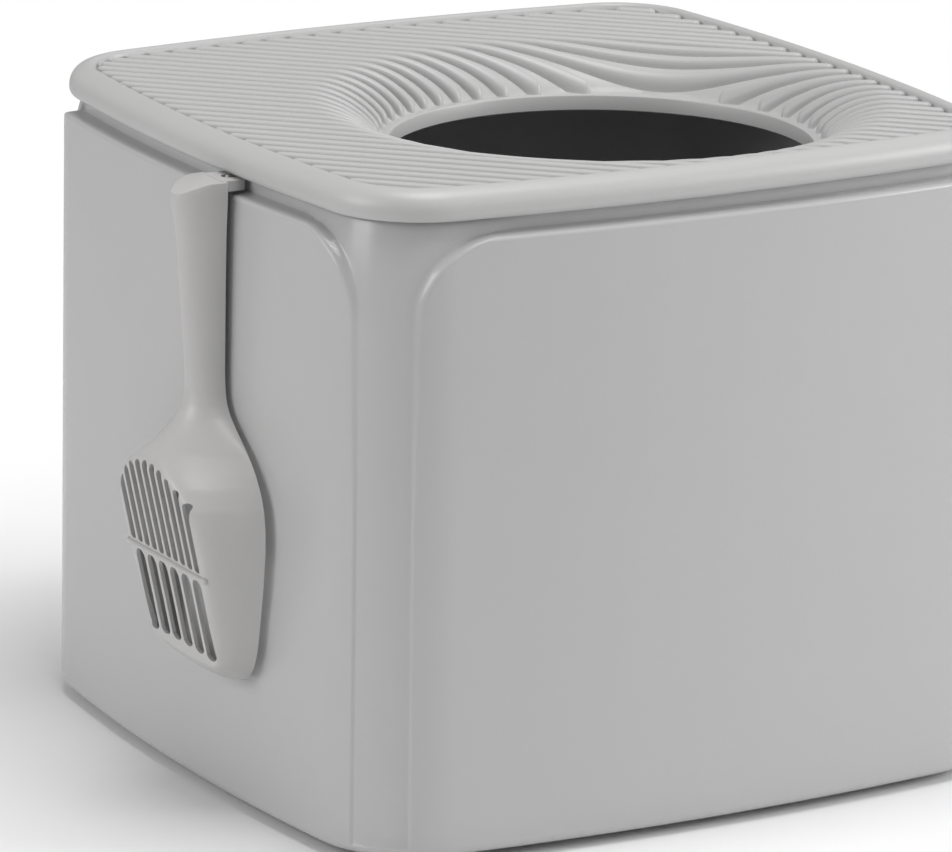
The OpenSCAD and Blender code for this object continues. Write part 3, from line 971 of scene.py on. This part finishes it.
    def build(self, finishes: Finishes) -> None:
        """Builds the skin, cuts its slots and adds the bar and the arm."""
        parts = MeshParts()
        rows = []
        for z in self.heights():
            if z == self.cavity_z:
                rows.append(self.row(z, False))
            rows.append(self.row(z, z > self.floor_z))
        rows += [self.row(self.roof_z, True), self.row(self.roof_z, False)]
        rows += [self.row(self.top_z - 0.5, False), self.row(self.top_z - 0.15, False, 0.12)]
        rows += [self.row(self.top_z, False, 0.45)]
        parts.band(rows, cap_start=True, cap_end=True)
        obj = parts.build("scoop_shell", self.shell_angle)
        slots = self.cutter()
        cut = obj.modifiers.new("slots", "BOOLEAN")
        cut.operation, cut.solver, cut.object = "DIFFERENCE", "EXACT", slots
        graph = bpy.context.evaluated_depsgraph_get()
        mesh = bpy.data.meshes.new_from_object(obj.evaluated_get(graph))
        obj.modifiers.clear()
        obj.data = mesh
        bpy.data.objects.remove(slots)
        smooth(mesh, self.shell_angle)
        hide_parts("scoop")
        dress(obj, finishes.scoop, Body.SCOOP)
        extra = MeshParts()
        slope = (self.face_high[1] - self.face_low[1]) / (self.face_high[0] - self.face_low[0])
        out = self.face_low[1] + slope * (self.bar_z - self.face_low[0]) - 0.2
        x, y = self.rim_x - out, self.centre_y
        self.bar(extra, ((x, y - self.bar_half, self.bar_z), (x, y + self.bar_half, self.bar_z)), self.bar_r)
        self.arm(extra)
        dress(extra.build("scoop_arm_and_bar", self.arm_angle), finishes.scoop, Body.SCOOP)


# ---------------------------------------------------------------- carried pieces


@dataclass
class CarriedNodes:
    """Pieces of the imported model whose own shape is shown."""

    feet: tuple[str, ...] = ("foot_front_left", "foot_front_right", "foot_back_left", "foot_back_right")
    smooth_angle: float = 32.0

    def dress(self, finishes: Finishes) -> None:
        """Gives each node its material and smooth shading."""
        for name in self.feet:
            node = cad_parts[name]
            smooth(node.data, self.smooth_angle)
            node.data.materials.clear()
            node.data.materials.append(finishes.rubber)
            LOG.info("%s: carried over with %s", name, finishes.rubber.name)


# ---------------------------------------------------------------- studio


@dataclass
class Studio:
    """Camera, floor, lamps and world."""

    azimuth: float = -29.225
    elevation: float = 15.119
    roll: float = 0.696
    distance: float = 3713.8
    target: tuple[float, float, float] = (-50.358, -40.0, 190.861)
    focal_px: float = 6665.1
    width_px: float = 952.0
    sensor: float = 36.0
    sky: float = 0.32
    lamps: tuple[tuple[str, tuple[float, float, float], float, float], ...] = (
        ("top_light", (0.05, -0.4, 2.6), 1.3, 34.0),
        ("left_light", (-2.3, 0.2, 1.2), 1.2, 19.0),
        ("right_light", (2.35, -1.6, 1.3), 1.2, 45.0))
    aim_height: float = 0.2
    floor_half: float = 12.0
    floor_grey: float = 0.88
    floor_roughness: float = 0.9
    fade_from: float = 0.32
    fade_to: float = 0.66

    def camera(self) -> None:
        """Places the camera at the photograph's viewpoint."""
        a, e, r = (math.radians(v) for v in (self.azimuth, self.elevation, self.roll))
        back = Vector((math.sin(a) * math.cos(e), -math.cos(a) * math.cos(e), math.sin(e)))
        right = Vector((math.cos(a), math.sin(a), 0.0))
        up = back.cross(right)
        across = right * math.cos(r) + up * math.sin(r)
        above = up * math.cos(r) - right * math.sin(r)
        data = bpy.data.cameras.new("studio_camera")
        data.sensor_width = self.sensor
        data.lens = self.focal_px / self.width_px * data.sensor_width
        data.clip_start, data.clip_end = 0.1, 100.0
        obj = bpy.data.objects.new("studio_camera", data)
        bpy.context.scene.collection.objects.link(obj)
        aim = Vector(self.target) + Vector((OUTLINE.shift_x, 0, 0))
        place = (aim + back * self.distance) * MM
        turn = Matrix((across, above, back)).transposed().to_4x4()
        obj.matrix_world = Matrix.Translation(place) @ turn
        bpy.context.scene.camera = obj

    def lamp(self, name: str, place: tuple[float, float, float], size: float, power: float) -> None:
        """Adds a soft square lamp that looks at the middle of the part."""
        data = bpy.data.lights.new(name, "AREA")
        data.shape = "SQUARE"
        data.size = size
        data.energy = power
        obj = bpy.data.objects.new(name, data)
        bpy.context.scene.collection.objects.link(obj)
        obj.location = place
        aim = Vector((OUTLINE.shift_x * MM, 0.0, self.aim_height)) - Vector(place)
        obj.rotation_euler = aim.to_track_quat("-Z", "Y").to_euler()

    def build(self) -> None:
        """Builds the whole studio."""
        self.camera()
        world = bpy.data.worlds.new("studio_world")
        bpy.context.scene.world = world
        world.use_nodes = True
        tree = world.node_tree
        backdrop = next(n for n in tree.nodes if n.type == "BACKGROUND")
        rays = tree.nodes.new("ShaderNodeLightPath")
        seen = math_node(tree, "ADD", rays.outputs["Is Camera Ray"], rays.outputs["Is Transmission Ray"])
        level = math_node(tree, "MULTIPLY_ADD", seen, 1.0 - self.sky)
        level.node.inputs[2].default_value = self.sky
        backdrop.inputs["Color"].default_value = (1.0, 1.0, 1.0, 1.0)
        tree.links.new(level, backdrop.inputs["Strength"])
        for name, place, size, power in self.lamps:
            self.lamp(name, place, size, power)
        mesh = bpy.data.meshes.new("studio_floor")
        s = self.floor_half
        mesh.from_pydata([(-s, -s, 0), (s, -s, 0), (s, s, 0), (-s, s, 0)], [], [(0, 1, 2, 3)])
        floor = bpy.data.objects.new("studio_floor", mesh)
        bpy.context.scene.collection.objects.link(floor)
        mesh.materials.append(self.floor_material())
        bpy.context.scene.view_settings.view_transform = "Standard"

    def floor_material(self) -> bpy.types.Material:
        """A pale matte floor that the camera sees fade to white away from the part."""
        mat = bpy.data.materials.new("studio_floor")
        mat.use_nodes = True
        tree = mat.node_tree
        shader = next(n for n in tree.nodes if n.type == "BSDF_PRINCIPLED")
        out = next(n for n in tree.nodes if n.type == "OUTPUT_MATERIAL")
        grey = self.floor_grey
        shader.inputs["Base Color"].default_value = (grey, grey, grey, 1.0)
        shader.inputs["Roughness"].default_value = self.floor_roughness
        white = tree.nodes.new("ShaderNodeEmission")
        coords = tree.nodes.new("ShaderNodeTexCoord")
        away = tree.nodes.new("ShaderNodeVectorMath")
        away.operation = "LENGTH"
        tree.links.new(coords.outputs["Object"], away.inputs[0])
        ramp = tree.nodes.new("ShaderNodeMapRange")
        ramp.interpolation_type = "SMOOTHSTEP"
        ramp.inputs["From Min"].default_value = self.fade_from
        ramp.inputs["From Max"].default_value = self.fade_to
        tree.links.new(away.outputs["Value"], ramp.inputs["Value"])
        rays = tree.nodes.new("ShaderNodeLightPath")
        share = math_node(tree, "MULTIPLY", ramp.outputs["Result"], rays.outputs["Is Camera Ray"])
        mix = tree.nodes.new("ShaderNodeMixShader")
        tree.links.new(share, mix.inputs["Fac"])
        tree.links.new(shader.outputs["BSDF"], mix.inputs[1])
        tree.links.new(white.outputs["Emission"], mix.inputs[2])
        tree.links.new(mix.outputs["Shader"], out.inputs["Surface"])
        return mat


def main() -> None:
    """Builds the studio and every piece, in order."""
    logging.basicConfig(level=logging.INFO, format="%(name)s %(message)s")
    Studio().build()
    finishes = Finishes()
    Tub().build(finishes)
    lid = Lid()
    lid.build_shell(finishes)
    lid.build_ribs(finishes)
    Scoop().build(finishes)
    CarriedNodes().dress(finishes)


if __name__ == "__main__":
    main()
